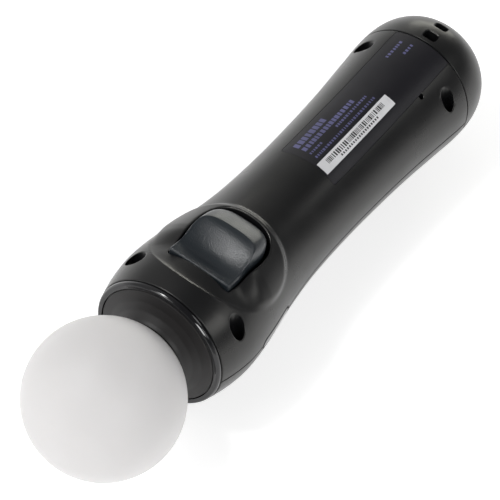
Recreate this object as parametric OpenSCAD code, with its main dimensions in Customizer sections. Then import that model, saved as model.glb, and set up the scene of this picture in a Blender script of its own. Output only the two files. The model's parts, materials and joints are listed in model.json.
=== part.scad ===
// Handheld VR motion controller: a wand with a glowing sphere on its neck, a thumb
// deck with buttons on the front and an analogue trigger on the rear.
// +X runs along the wand to the sphere, +Z is the trigger side, z = 0 is the surface
// that the wand lies on. The origin is under the middle of the wand.

/* [Wand] */
// Length from the tail's end to the sphere's tip
wand_l = 200; // [190:1:210]
// Diameter of the sphere
sphere_d = 45; // [42:0.5:46]
// Radius of the handle where the tail swells
tail_r = 20.55; // [19.5:0.05:21.5]
// Radius of the waist
waist_r = 17.58; // [17.3:0.02:18.5]
// Radius of the shoulder behind the neck
shoulder_r = 22.65; // [22:0.05:23.5]
// Radius of the covers at the neck
neck_r = 20.7; // [20.5:0.05:21.2]
// Thickness of the covers
wall = 2; // [1.6:0.1:2.2]

/* [Trigger] */
// Height of the trigger's peak over the wand's axis
peak_h = 24; // [23:0.1:24.5]
// Half of the trigger's width
trigger_hw = 10.1; // [9.6:0.1:10.2]
// Radius of the hinge pin
pin_r = 1.2; // [1:0.05:1.3]

/* [Buttons] */
// Radius of the big oval button's round ends
move_r = 5.8; // [5:0.1:6]
// Radius of the four action buttons
action_r = 3; // [2.6:0.1:3]
// Radius of the home button
home_r = 3.6; // [3:0.1:3.8]
// Gap round each button
gap = 0.25; // [0.2:0.05:0.3]

/* [Inside] */
// Length of the battery
battery_l = 57; // [50:1:57]
// Height of the battery
battery_h = 9.4; // [8:0.1:9.4]
// Radius of the vibration motor
motor_r = 4; // [3.5:0.1:4]
// Thickness of the circuit boards
board_t = 1.2; // [1:0.1:1.2]

/* [Hidden] */

fine = 96;
eps = 0.02;
far = 200;
axis_z = sphere_d / 2;          // height of the wand's axis over the surface
sphere_r = sphere_d / 2;
sphere_x = wand_l / 2 - sphere_r;
tail_x = -79;                   // where the tail starts to close
tail_end = -wand_l / 2;
tail_power = 2.6;               // squareness of the tail's rounding
neck_x = 51.5;                  // where the covers end at the neck ring
cap_x = -79.3;                  // seam between the rear cover and the tail cap
cap_z = -2.5;                   // the tail cap reaches this far under the axis
deck_z = -22.2;                 // flat of the thumb deck, under the axis
tail_flat_z = -19.8;            // flat under the tail, which the wand rests on
// Places along the handle and the radius there, joined by a smooth curve
stations = [
    [tail_x, tail_r], [-68, 19.8], [-52.5, 18.6], [-37, 17.9], [-18, waist_r],
    [0, 18.1], [14, 19.55], [28, 21.8], [38, shoulder_r], [45, 22.1], [neck_x, neck_r]
];
handle_step = 4;

pin_x = 41;                     // trigger's hinge, measured from the axis
pin_z = 12.5;
peak_x = 22.8;
trigger_end_x = 38.8;
face_end_z = 20.9;
face_dip = 2;                   // hollow of the trigger's face
skirt_z = 14.5;
trigger_tail_x = 15.6;
trigger_corner = 7.6;           // radius of the trigger's tail corners
well_x = 13.8;                  // tail side of the well that the trigger sits in
well_end_x = 39.2;
well_hw = 11.2;
well_corner = 8.6;
platform_x = 30.1;              // middle of the raised platform round the trigger
platform_r = 19.4;
platform_end_x = 45.4;          // the platform is cut off straight on the sphere side
platform_rise = 1.1;

board_z = -8;                   // upper face of the main board
film_z = 8.2;                   // upper face of the trigger board
stem_z = -13.1;                 // inner end of the button stems
move_x = 27;
action_x = 10.5;                // spacing of the action buttons from the big button
action_y = 7.4;
home_x = 5;
case_screw_pts = [
    [-71.5, 15.2], [-71.5, -15.2], [43, 17.2], [43, -17.2]
];
board_screw_pts = [[-66, 8], [-66, -8], [8, 9], [8, -9]];
trigger_screw_pts = [[10.5, 6], [10.5, -6], [34, 13.9], [34, -13.9]];
reset_x = -63.1;
reset_y = 9.8;
motor_z = 9.8;
battery_x = -58.5;              // tail end of the battery
battery_z = -5.6;               // lower face of the battery
label_x = [-79, -17];
label_hw = 9.5;

// ---- curves ----

function lerp(a, b, t) = a + (b - a) * t;

// Slope of the handle's curve at station i
function slope(i) =
    i == 0 ? 0 :
    i == len(stations) - 1 ? -0.26 :
    (stations[i + 1][1] - stations[i - 1][1]) / (stations[i + 1][0] - stations[i - 1][0]);

function station(x, i = 0) =
    i >= len(stations) - 2 || x < stations[i + 1][0] ? i : station(x, i + 1);

// Radius of the handle at x, from the tail's start to the neck
function handle_r(x) =
    let (i = station(x), a = stations[i], b = stations[i + 1], h = b[0] - a[0], t = (x - a[0]) / h)
    a[1] * (1 + 2 * t) * (1 - t) * (1 - t) + h * slope(i) * t * (1 - t) * (1 - t)
    + b[1] * t * t * (3 - 2 * t) + h * slope(i + 1) * t * t * (t - 1);

// Outline of the wand's body as [radius, x], with its skin moved in by inset
function body_outline(inset, end) = concat(
    [[0, tail_end + inset]],
    [for (a = [82 : -9 : 10])
        [(tail_r - inset) * pow(cos(a), 2 / tail_power),
         tail_x - (tail_x - tail_end - inset) * pow(sin(a), 2 / tail_power)]],
    [for (x = [tail_x : handle_step : neck_x]) [handle_r(x) - inset, x]],
    [[neck_r - inset, neck_x], [neck_r - inset, end], [0, end]]
);

// Height of the trigger's face from its peak, t = 0, to its sphere end, t = 1
function face_z(t) = lerp(peak_h, face_end_z, t) - face_dip * 4 * t * (1 - t);

// Rings of a wire of radius r swept along a path
function unit(v) = v / norm(v);
function tangent(path, i) =
    unit(path[min(i + 1, len(path) - 1)] - path[max(i - 1, 0)]);
function ring(p, t, r, sides) =
    let (u = unit(cross(t, abs(t[1]) > 0.9 ? [1, 0, 0] : [0, 1, 0])), v = cross(t, u))
    [for (k = [0 : sides - 1]) p + r * (cos(360 * k / sides) * u + sin(360 * k / sides) * v)];

// ---- shared shapes ----

module on_axis() translate([0, 0, axis_z]) children();

// A body of revolution about the wand's axis, its own seam turned away from the openings
module turned(points)
    rotate([0, 90, 0]) rotate([0, 0, 70]) rotate_extrude($fn = fine) polygon(points);

module body_solid(inset = 0, end = neck_x) turned(body_outline(inset, end));

module shell() difference() {
    body_solid();
    body_solid(wall, neck_x + 1);
}

module above(z) translate([-far, -far, z]) cube(2 * far);

module below(z) translate([-far, -far, z - 2 * far]) cube(2 * far);

// A block between two corners
module block(low, high) translate(low) cube(high - low);

// An upright bar of radius r from z0 to z1
module bar(x, y, r, z0, z1) translate([x, y, z0]) cylinder(r = r, h = z1 - z0, $fn = 48);

// A bar of radius r along Y from y0 to y1
module cross_bar(x, z, r, y0, y1)
    translate([x, y1, z]) rotate([90, 0, 0]) cylinder(r = r, h = y1 - y0, $fn = 48);

// A bar of radius r along X from x0 to x1
module long_bar(y, z, r, x0, x1)
    translate([x0, y, z]) rotate([0, 90, 0]) cylinder(r = r, h = x1 - x0, $fn = 48);

// Outline with round ends: a rectangle with a circle on each end
module oval(half_l, r) {
    square([2 * (half_l - r), 2 * r], center = true);
    for (s = [-1, 1]) translate([s * (half_l - r), 0]) circle(r = r, $fn = 64);
}

module both_sides() for (s = [-1, 1]) scale_y(s) children();

module scale_y(s) if (s > 0) children(); else mirror([0, 1, 0]) children();

module wire(path, r, sides = 8) {
    rings = [for (i = [0 : len(path) - 1]) ring(path[i], tangent(path, i), r, sides)];
    n = len(path);
    points = [for (one = rings) for (p = one) p];
    polyhedron(points, concat(
        [[for (k = [0 : sides - 1]) k]],
        [for (i = [0 : n - 2]) for (k = [0 : sides - 1])
            [i * sides + k, (i + 1) * sides + k, (i + 1) * sides + (k + 1) % sides,
             i * sides + (k + 1) % sides]],
        [[for (k = [sides - 1 : -1 : 0]) (n - 1) * sides + k]]
    ), convexity = 10);
}

// ---- casing ----

// Outline of the raised trigger platform, seen from above
module platform_outline() intersection() {
    translate([platform_x, 0]) circle(r = platform_r, $fn = 96);
    translate([0, -30]) square([platform_end_x, 60]);
}

// The platform's skin: the handle's own curve with a low rise over it
module platform_solid() turned(concat(
    [[0, 10]],
    [for (x = [10 : 3 : 46]) [handle_r(x) + platform_rise * pow(sin(5 * (x - 10)), 0.8), x]],
    [[0, 46]]
));

// A plate outline with round corners on its tail side
module tail_round(x0, x1, hw, r) {
    translate([x0, r - hw]) square([r, 2 * (hw - r)]);
    translate([x0 + r, -hw]) square([x1 - x0 - r, 2 * hw]);
    for (s = [-1, 1]) translate([x0 + r, s * (hw - r)]) circle(r = r, $fn = 72);
}

// Wells for the case screws' heads, down to the screw seats
module screw_wells() for (p = case_screw_pts) {
    bar(p[0], p[1], 2.45, 4, far);
    bar(p[0], p[1], 1.3, -1, 5);
}

module side_button_holes() both_sides() block([17.7, 14, -2], [33.3, 25, 2]);

module tail_region() block([-far, -far, cap_z], [cap_x, far, far]);

module rear_cover() color([0.16, 0.16, 0.17]) on_axis() difference() {
    union() {
        intersection() {
            union() {
                difference() {
                    union() {
                        shell();
                        intersection() {
                            platform_solid();
                            linear_extrude(height = 40) platform_outline();
                        }
                    }
                    body_solid(wall, neck_x + 1);
                }
                intersection() {
                    body_solid(eps);
                    for (p = case_screw_pts) bar(p[0], p[1], 3.9, 0, far);
                }
            }
            above(0);
        }
        // Ears that hold the hinge pin
        both_sides() block([pin_x - 2.2, 11.2, 10], [pin_x + 2.2, 13, 16.5]);
        // Posts that carry the trigger board
        for (p = trigger_screw_pts)
            bar(p[0], p[1], 1.9, film_z, norm(p) > 20 ? 15 : 16.2);
        // Ribs that hold the motor
        for (x = [-12, -5]) block([x - 0.6, -6, 8.5], [x + 0.6, 6, 15]);
        // Guide for a pin that presses the reset switch
        bar(reset_x, reset_y, 1.9, -4.9, 14.5);
    }
    screw_wells();
    side_button_holes();
    tail_region();
    translate([0, 0, 13.5]) linear_extrude(height = 30)
        tail_round(well_x, well_end_x, well_hw, well_corner);
    long_bar(0, motor_z, motor_r + 1, -13, -3);
    for (p = trigger_screw_pts) bar(p[0], p[1], 0.8, film_z - 1, film_z + 5);
    bar(reset_x, reset_y, 0.9, -5, far);
    both_sides() cross_bar(pin_x, pin_z, pin_r + eps, 11, 14);
    // Recess for the label
    difference() {
        block([label_x[0], -label_hw, 10], [label_x[1], label_hw, 25]);
        body_solid(0.3);
    }
}

module front_button_hole(x, y, r) bar(x, y, r + gap, -30, -10);

function action_pts() = [
    [move_x + action_x, action_y], [move_x + action_x, -action_y],
    [move_x - action_x, action_y], [move_x - action_x, -action_y]
];

module front_cover() color([0.16, 0.16, 0.17]) on_axis() difference() {
    union() {
        intersection() {
            shell();
            below(0);
            above(deck_z);
        }
        intersection() {
            body_solid(eps);
            union() {
                for (p = case_screw_pts) bar(p[0], p[1], 3.2, -30, 0);
                for (p = board_screw_pts) bar(p[0], p[1], 2, -30, board_z - board_t);
            }
        }
    }
    tail_region();
    block([-96, -30, -40], [-62, 30, tail_flat_z]);
    for (p = case_screw_pts) bar(p[0], p[1], 1.12, -9, 1);
    for (p = board_screw_pts) bar(p[0], p[1], 0.87, -13.5, -9);
    side_button_holes();
    translate([move_x, 0, -30]) linear_extrude(height = 20) oval(8.2 + gap, move_r + gap);
    for (p = action_pts()) front_button_hole(p[0], p[1], action_r);
    front_button_hole(home_x, 0, home_r);
    front_button_hole(-4, 0, 0.65);
    // Openings in the tail for the sockets and the charging contacts
    block([-110, -4.05, -8.2], [-94, 4.05, -3.9]);
    block([-110, -5.4, -13.3], [-94, 5.4, -9.1]);
    both_sides() long_bar(8.6, -6, 1.65, -110, -94);
}

module tail_cap() color([0.16, 0.16, 0.17]) on_axis() difference() {
    union() {
        intersection() {
            shell();
            tail_region();
        }
        // Tongue that slips under the rear cover
        intersection() {
            difference() {
                body_solid(wall + 0.1);
                body_solid(wall + 1.2, neck_x + 1);
            }
            block([-83, -30, 2], [-76.5, 30, 30]);
        }
        // Pocket under the strap openings
        intersection() {
            body_solid(eps);
            block([-92.5, -5, 12.2], [-80.2, 5, 30]);
        }
    }
    block([-91.5, -3.9, 13.3], [-81.2, 3.9, 17]);
    // Strap openings with a bridge between them
    block([-84.8, -2.3, 14], [-81.2, 2.3, 30]);
    block([-91.2, -2.1, 13.4], [-88.2, 2.1, 30]);
}

module neck_ring() color([0.05, 0.05, 0.06]) on_axis() turned([
    [18.4, 48.6], [18.4, neck_x + 0.1], [20.4, neck_x + 0.1], [20.45, 52.6], [20.1, 53.1],
    [18.65, 53.1], [18.65, 52.2], [17, 52.2], [17, 48.6]
]);

// Soft dish between the neck ring and the sphere
module collar() color([0.2, 0.19, 0.19]) on_axis() turned([
    [18.6, 52.25], [18.6, 53.2], [17.6, 53.3], [15.4, 53.8], [13.2, 54.9], [11.6, 56.4],
    [11, 57.4], [9.8, 57.2], [10.3, 55.9], [12.3, 53.9], [14.8, 52.7], [16.9, 52.25]
]);

module light_sphere() color([0.86, 0.85, 0.84]) on_axis() translate([sphere_x, 0, 0])
    rotate([0, 90, 0]) rotate_extrude($fn = fine) difference() {
        union() {
            intersection() {
                circle(r = sphere_r, $fn = fine);
                translate([0, -far]) square(2 * far);
            }
            // Neck and the flange that clips under the collar
            translate([8, -24.6]) square([1.3, 6]);
            translate([8, -25]) square([2.8, 1]);
        }
        circle(r = sphere_r - 1.6, $fn = fine);
        translate([-1, -30]) square([9, 15]);
    }

module sphere_retainer() color([0.3, 0.3, 0.31]) on_axis() turned([
    [6, 50.5], [16.8, 50.5], [16.8, 52.1], [7.8, 52.1], [7.8, 57.5], [6.6, 57.5], [6, 56.8]
]);

// ---- light ----

module led_board() color([0.05, 0.3, 0.15]) on_axis() difference() {
    long_bar(0, 0, 9, 49.2, 49.2 + board_t);
    both_sides() long_bar(7, 0, 0.8, 49, 51);
}

module rgb_led() color([0.9, 0.9, 0.85]) on_axis() difference() {
    block([49.2 + board_t, -2.5, -2.5], [51.8, 2.5, 2.5]);
    long_bar(0, 0, 1.9, 51.2, 52);
}

module led_lens() color([0.9, 0.95, 1]) on_axis() turned(concat(
    [[0, 51.85], [4, 51.85], [4, 52.4]],
    [for (a = [0 : 15 : 75]) [3.4 * cos(a), 52.4 + 3.4 * sin(a)]],
    [[0, 55.8]]
));

// Ribbon from the light's board down to the main board
module led_flex() color([0.75, 0.45, 0.15]) on_axis()
    translate([0, 3, 0]) rotate([90, 0, 0]) linear_extrude(height = 6) {
        translate([48.85, -4.5]) square([0.3, 7]);
        difference() {
            translate([46, -4.5]) circle(r = 3.15, $fn = 48);
            translate([46, -4.5]) circle(r = 2.85, $fn = 48);
            translate([40, -4.5]) square([10, 10]);
            translate([40, -10]) square([6, 10]);
        }
        translate([41, -7.65]) square([5, 0.3]);
    }

// ---- trigger ----

module trigger_plan(inset) tail_round(
    trigger_tail_x + inset, trigger_end_x - inset, trigger_hw - inset, trigger_corner - inset);

// Side view of the trigger: hollow face, rounded peak and tail wall
module trigger_side(inset, low) polygon(concat(
    [[trigger_tail_x + inset, low], [trigger_tail_x + 0.1 + inset, 17.4 - inset],
     [17 + inset, 20.6 - inset], [19.4 + inset / 2, 23.1 - inset], [21.2, peak_h - 0.15 - inset]],
    [for (t = [0 : 0.1 : 1]) [lerp(peak_x, trigger_end_x - inset, t), face_z(t) - inset]],
    [[trigger_end_x - inset, low]]
));

module trigger_block(inset, low) intersection() {
    translate([0, 20, 0]) rotate([90, 0, 0]) linear_extrude(height = 40)
        trigger_side(inset, low);
    linear_extrude(height = 40) trigger_plan(inset);
}

module trigger() color([0.15, 0.16, 0.19]) on_axis() difference() {
    union() {
        difference() {
            trigger_block(0, skirt_z);
            trigger_block(1.6, skirt_z - 1);
        }
        // Post behind the face, with the pad's seat
        bar(24, 0, 2.4, 14.3, 22);
        // Webs and knuckles on the hinge pin
        both_sides() block([36, 7.6, pin_z], [pin_x, trigger_hw, 16.6]);
        both_sides() cross_bar(pin_x, pin_z, 2.6, 7.6, 10.8);
        // Hook that stops the trigger at rest
        block([13, -4, 14.5], [17, 4, 16.4]);
    }
    both_sides() cross_bar(pin_x, pin_z, pin_r + 0.05, 7, 12);
}

module trigger_pad() color([0.1, 0.1, 0.1]) on_axis() bar(24, 0, 2.4, 12.8, 14.3);

module trigger_pin() color([0.7, 0.7, 0.72]) on_axis()
    cross_bar(pin_x, pin_z, pin_r, -13, 13);

// Return spring: a coil round the pin with a leg each way
module trigger_spring() color([0.75, 0.75, 0.78]) on_axis() {
    coil_r = 2.1;
    turns = 6;
    per_turn = 16;
    steps = turns * per_turn;
    wire(concat(
        [[pin_x - 9.5, -2.4, 16], [pin_x - 7, -2.4, 12.8], [pin_x - 3.2, -2.4, 10.6]],
        [for (i = [0 : steps])
            [pin_x + coil_r * sin(360 * i / per_turn), -2.4 + 4.8 * i / steps,
             pin_z - coil_r * cos(360 * i / per_turn)]],
        [[pin_x + 3, 2.4, 10.5], [pin_x + 5.5, 2.4, 11.2]]
    ), 0.35);
}

module trigger_board() color([0.05, 0.3, 0.15]) on_axis() difference() {
    translate([0, 0, film_z - board_t]) linear_extrude(height = board_t) polygon([
        [7.8, -8], [29, -8], [31.5, -16], [37, -16], [37, 16], [31.5, 16], [29, 8], [7.8, 8]
    ]);
    for (p = trigger_screw_pts) bar(p[0], p[1], 0.95, 0, 10);
}

module trigger_sensor() color([0.75, 0.45, 0.15]) on_axis()
    block([20, -4, film_z], [28, 4, film_z + 0.2]);

// ---- buttons ----

// A round cap that follows the body's skin, with a lip and a stem
module front_button(x, y, r, proud, lip_z) {
    intersection() {
        body_solid(-proud);
        bar(x, y, r, -22.4, stem_z);
    }
    bar(x, y, r + 0.5, lip_z, lip_z + 0.8);
}

module move_button() color([0.08, 0.08, 0.09]) on_axis() {
    translate([move_x, 0, 0]) {
        intersection() {
            translate([-move_x, 0, 0]) body_solid(-0.1);
            translate([0, 0, deck_z - 0.2]) linear_extrude(height = 6) oval(8.2, move_r);
        }
        translate([0, 0, -16.9]) linear_extrude(height = 1) oval(9, move_r + 0.8);
    }
    bar(move_x, 0, 2, -16, stem_z);
}

module action_button(i) color([0.13, 0.13, 0.14]) on_axis()
    front_button(action_pts()[i][0], action_pts()[i][1], action_r, 0.25, -13.9);

module action_button_a() action_button(0);

module action_button_b() action_button(1);

module action_button_c() action_button(2);

module action_button_d() action_button(3);

module home_button() color([0.08, 0.08, 0.09]) on_axis()
    front_button(home_x, 0, home_r, 0.1, -15.4);

// A slim cap on the side of the handle, with a lip and a stub that meets its switch
module side_button() {
    intersection() {
        body_solid(-0.1);
        block([18, 17, -1.7], [33, 25, 1.7]);
    }
    block([17, 16.2, -2.6], [34, 17.2, 2.6]);
    block([24, 15.6, -1], [27, 16.3, 1]);
}

module start_button() color([0.13, 0.13, 0.14]) on_axis() side_button();

module select_button() color([0.13, 0.13, 0.14]) on_axis() mirror([0, 1, 0]) side_button();

module side_switches() color([0.12, 0.12, 0.12]) on_axis() both_sides() {
    block([22, 11.6, board_z], [29, 13.6, 2.2]);
    cross_bar(25.5, 0, 1, 13.6, 14.6);
}

// Soft sheet under the main board with a dome for each button
module button_membrane() color([0.55, 0.56, 0.58]) on_axis() {
    top = board_z - board_t;
    difference() {
        block([12, -11, top - 1], [43, 11, top]);
        for (p = board_screw_pts) bar(p[0], p[1], 2.2, -20, 0);
    }
    block([1, -5, top - 1], [12, 5, top]);
    for (p = concat([[home_x, 0]], action_pts())) bar(p[0], p[1], 1.8, -12, top - 0.5);
    bar(move_x, 0, 3, -12, top - 0.5);
}

module status_lens() color([0.6, 0.1, 0.1]) on_axis() intersection() {
    body_solid(0);
    bar(-4, 0, 0.85, -20, -15);
}

// ---- electronics ----

module main_board() color([0.05, 0.3, 0.15]) on_axis() difference() {
    translate([0, 0, board_z - board_t]) linear_extrude(height = board_t) polygon([
        [-93, -9], [-86, -11.2], [14, -11.2], [16, -14], [38, -14], [40, -10.5], [46, -10.5],
        [46, 10.5], [40, 10.5], [38, 14], [16, 14], [14, 11.2], [-86, 11.2], [-93, 9]
    ]);
    for (p = board_screw_pts) bar(p[0], p[1], 1, -20, 0);
}

// Circuits on the main board: [x, y, length, width, height]
chips = [
    [20, 5, 8, 8, 1], [13, -4, 5, 5, 1], [3, 3, 4, 4, 0.9], [-30, 0, 7, 7, 0.8],
    [-45, 4, 5, 4, 0.8], [-80, -6, 5, 5, 1], [-83, 4, 4, 4, 1.8], [18, -9, 3, 2.5, 1]
];

module board_chips() color([0.07, 0.07, 0.08]) on_axis() for (c = chips)
    block([c[0] - c[2] / 2, c[1] - c[3] / 2, board_z],
          [c[0] + c[2] / 2, c[1] + c[3] / 2, board_z + c[4]]);

module radio_shield() color([0.7, 0.7, 0.72]) on_axis() difference() {
    block([27, -6.5, board_z], [39, 6.5, board_z + 2]);
    block([27.3, -6.2, board_z - 1], [38.7, 6.2, board_z + 1.7]);
}

module board_connectors() color([0.88, 0.87, 0.82]) on_axis() {
    block([-73, -3, board_z], [-67.5, 3, board_z + 4]);
    block([0.5, 8, board_z], [4, 11, board_z + 3]);
    block([41, -4, board_z], [43.5, 4, board_z + 0.3]);
}

module battery() color([0.2, 0.22, 0.25]) on_axis()
    translate([battery_x, 0, 0]) rotate([90, 0, 90]) linear_extrude(height = battery_l) {
        top = battery_z + battery_h;
        translate([-10.8, battery_z + 1]) square([21.6, battery_h - 2]);
        translate([-9.8, battery_z]) square([19.6, battery_h]);
        for (y = [-9.8, 9.8]) for (z = [battery_z + 1, top - 1])
            translate([y, z]) circle(r = 1, $fn = 32);
    }

module battery_tray() color([0.25, 0.25, 0.26]) on_axis() {
    head = battery_x + battery_l;
    block([battery_x - 1.2, -12, battery_z - 1.2], [head + 1.2, 12, battery_z - 0.05]);
    both_sides() block([battery_x - 1.2, 10.9, battery_z - 0.1], [head + 1.2, 12, 1]);
    block([battery_x - 1.2, -12, battery_z - 0.1], [battery_x - 0.1, 12, 1]);
    block([head + 0.1, -12, battery_z - 0.1], [head + 1.2, 12, 1]);
    for (x = [-50, -12]) both_sides() bar(x, 8.8, 1.2, board_z, battery_z - 1);
}

module battery_leads() color([0.7, 0.08, 0.08]) on_axis() for (y = [-1.5, 1.5])
    wire([
        [-58.6, y, 2.6], [-60.4, y, 2.5], [-62.8, y, 1.8], [-64.8, y, 0], [-66, y, -2.4],
        [-66.4, y, -4.6], [-66.6, y, -5.8], [-66.9, y, -6.4], [-67.2, y, -6.5],
        [-67.46, y, -6.5]
    ], 0.55);

module vibration_motor() color([0.75, 0.75, 0.77]) on_axis() difference() {
    long_bar(0, motor_z, motor_r, -13.6, -1.5);
    long_bar(0, motor_z, 0.57, -12, 0);
}

module motor_shaft() color([0.8, 0.8, 0.82]) on_axis() long_bar(0, motor_z, 0.5, -10, 5.5);

// Half-round weight on the motor's shaft
module motor_weight() color([0.5, 0.48, 0.45]) on_axis() difference() {
    union() {
        intersection() {
            long_bar(0, motor_z, 4.6, 0, 5);
            block([-1, -10, motor_z - 10], [6, 10, motor_z - 0.4]);
        }
        long_bar(0, motor_z, 1.6, 0, 5);
    }
    long_bar(0, motor_z, 0.5, -1, 6);
}

module motor_boot() color([0.1, 0.1, 0.1]) on_axis() difference() {
    long_bar(0, motor_z, motor_r + 0.95, -13, -3);
    long_bar(0, motor_z, motor_r, -14, -2);
}

module motor_leads() color([0.1, 0.1, 0.5]) on_axis() {
    wire([
        [-13.7, 1, 9.5], [-15.2, 2, 9], [-16.2, 5, 8], [-15.6, 9, 6.2], [-14, 12, 3.6],
        [-12, 13.3, 0.6], [-9, 13.6, -2.2], [-5, 13.4, -4.3], [-1.6, 13.1, -5.1],
        [0.6, 12.7, -5.2], [1.3, 11.7, -4.7], [1.5, 10.9, -4.4], [1.5, 9.5, -4.45]
    ], 0.5);
    wire([
        [-13.7, 2.3, 9.5], [-16.4, 3.3, 9], [-17.5, 5, 8], [-16.9, 9, 6.2], [-15.3, 12, 3.6],
        [-12.8, 13.3, -0.2], [-9.5, 13.6, -3.3], [-5.4, 13.4, -5.4], [-1.6, 13.1, -6.2],
        [1.6, 12.8, -6.3], [2.7, 12.1, -5.5], [2.9, 11.4, -4.6], [3, 10.6, -4.42],
        [3, 9.5, -4.45]
    ], 0.5);
}

// ---- fasteners and small parts ----

module case_screws() color([0.6, 0.6, 0.62]) on_axis() for (p = case_screw_pts) difference() {
    union() {
        bar(p[0], p[1], 2.1, 4, 5.6);
        bar(p[0], p[1], 1.1, -7, 4.5);
    }
    bar(p[0], p[1], 0.6, 4.8, 6);
}

module board_screws() color([0.6, 0.6, 0.62]) on_axis() {
    for (p = board_screw_pts) {
        bar(p[0], p[1], 1.6, board_z, board_z + 1.1);
        bar(p[0], p[1], 0.85, -13, board_z + 0.5);
    }
    for (p = trigger_screw_pts) {
        bar(p[0], p[1], 1.6, film_z - board_t - 1, film_z - board_t);
        bar(p[0], p[1], 0.78, film_z - board_t - 0.5, film_z + 4.5);
    }
}

module reset_switch() color([0.12, 0.12, 0.12]) on_axis() difference() {
    block([reset_x - 1.4, reset_y - 1.4, board_z], [reset_x + 1.4, reset_y + 1.4, board_z + 1.5]);
    bar(reset_x, reset_y, 0.95, board_z + 0.7, 0);
}

module reset_plunger() color([0.85, 0.85, 0.8]) on_axis()
    bar(reset_x, reset_y, 0.85, board_z + 1.1, board_z + 2.5);

module usb_port() color([0.72, 0.72, 0.74]) on_axis() {
    difference() {
        block([-99.2, -3.85, board_z], [-91.2, 3.85, -4.1]);
        block([-100, -3.45, board_z + 0.4], [-91.8, 3.45, -4.5]);
    }
    block([-98, -2.6, board_z + 1.5], [-91.5, 2.6, board_z + 2.3]);
}

module ext_connector() color([0.1, 0.1, 0.1]) on_axis() {
    low = -13;
    difference() {
        block([-96.4, -5.2, low], [-88.5, 5.2, board_z - board_t]);
        block([-97, -4.5, low + 0.6], [-89.5, 4.5, board_z - board_t - 0.6]);
    }
    block([-95.8, -3.6, -11.5], [-89, 3.6, -10.7]);
}

module charge_contacts() color([0.85, 0.7, 0.3]) on_axis() both_sides()
    long_bar(8.6, -6, 1.6, -98.7, -95.5);

module rear_label() color([0.1, 0.1, 0.12]) on_axis() intersection() {
    difference() {
        body_solid(0.02);
        body_solid(0.28);
    }
    block([label_x[0] + 0.1, 0.1 - label_hw, 10], [label_x[1] - 0.1, label_hw - 0.1, 25]);
}

module barcode_sticker() color([0.8, 0.8, 0.82]) on_axis() intersection() {
    difference() {
        body_solid(-0.12);
        body_solid(0);
    }
    block([-54.1, 2.1, 10], [-17.8, 6.2, 25]);
}

rear_cover();
front_cover();
tail_cap();
neck_ring();
collar();
light_sphere();
sphere_retainer();
led_board();
rgb_led();
led_lens();
led_flex();
trigger();
trigger_pad();
trigger_pin();
trigger_spring();
trigger_board();
trigger_sensor();
move_button();
action_button_a();
action_button_b();
action_button_c();
action_button_d();
home_button();
start_button();
select_button();
side_switches();
button_membrane();
status_lens();
main_board();
board_chips();
radio_shield();
board_connectors();
battery();
battery_tray();
battery_leads();
vibration_motor();
motor_shaft();
motor_weight();
motor_boot();
motor_leads();
case_screws();
board_screws();
reset_switch();
reset_plunger();
usb_port();
ext_connector();
charge_contacts();
rear_label();
barcode_sticker();
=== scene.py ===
"""Looks of a handheld VR motion controller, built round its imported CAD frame.

Shapes are worked out in millimetres from the wand's axis, with +X towards the sphere and
+Z towards the trigger, and are placed in metres at the end.
"""

import json
import math

import bpy
import bmesh
import numpy as np
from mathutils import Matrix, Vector


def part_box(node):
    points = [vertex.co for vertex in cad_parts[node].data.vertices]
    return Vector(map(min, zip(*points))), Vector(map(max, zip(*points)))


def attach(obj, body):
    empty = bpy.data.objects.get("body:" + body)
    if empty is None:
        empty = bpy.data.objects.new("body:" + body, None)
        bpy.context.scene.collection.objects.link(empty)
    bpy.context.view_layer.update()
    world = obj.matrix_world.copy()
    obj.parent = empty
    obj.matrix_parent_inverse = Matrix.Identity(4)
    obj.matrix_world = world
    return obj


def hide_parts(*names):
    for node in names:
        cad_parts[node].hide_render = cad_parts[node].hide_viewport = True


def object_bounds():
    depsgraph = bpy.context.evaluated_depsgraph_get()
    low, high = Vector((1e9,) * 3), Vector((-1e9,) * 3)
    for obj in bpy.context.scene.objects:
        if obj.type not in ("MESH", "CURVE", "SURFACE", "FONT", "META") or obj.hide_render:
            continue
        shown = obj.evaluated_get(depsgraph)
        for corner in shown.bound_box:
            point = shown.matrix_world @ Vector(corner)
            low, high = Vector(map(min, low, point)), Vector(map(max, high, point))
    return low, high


MM = 0.001
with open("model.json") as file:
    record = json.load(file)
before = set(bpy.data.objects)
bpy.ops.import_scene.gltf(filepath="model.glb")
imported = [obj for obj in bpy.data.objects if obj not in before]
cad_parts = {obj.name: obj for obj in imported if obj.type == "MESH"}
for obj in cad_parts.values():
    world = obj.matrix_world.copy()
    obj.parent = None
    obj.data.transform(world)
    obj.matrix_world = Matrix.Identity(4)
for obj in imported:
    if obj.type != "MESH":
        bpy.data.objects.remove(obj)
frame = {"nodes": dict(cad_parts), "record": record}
CAD_BOX = [list(corner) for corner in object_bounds()]
SPHERE_LOW, SPHERE_HIGH = (np.array(c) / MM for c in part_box("light_sphere"))
AXIS_Z = (SPHERE_LOW[2] + SPHERE_HIGH[2]) / 2
SPHERE_R = (SPHERE_HIGH[2] - SPHERE_LOW[2]) / 2
SPHERE_X = SPHERE_HIGH[0] - SPHERE_R

# ---- the wand's curves, as in the CAD source ----

TAIL_R, TAIL_X, TAIL_END, TAIL_POWER = 20.55, -79.0, CAD_BOX[0][0] / MM, 2.6
STATIONS = np.array([
    [TAIL_X, TAIL_R], [-68, 19.8], [-52.5, 18.6], [-37, 17.9], [-18, 17.58], [0, 18.1],
    [14, 19.55], [28, 21.8], [38, 22.65], [45, 22.1], [51.5, 20.7]])
NECK_X = STATIONS[-1, 0]
CAP_X, CAP_Z = -79.3, -2.5
DECK_Z, TAIL_FLAT_Z = 22.2, 19.8
SEAM = 0.18                     # half of a seam's gap
CORE = 1.6                      # the CAD's inner features are kept under this depth
SKIN = 1.9                      # thickness of the outer skin mesh
EDGE_R = 0.22                   # rounding of the covers' edges


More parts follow.
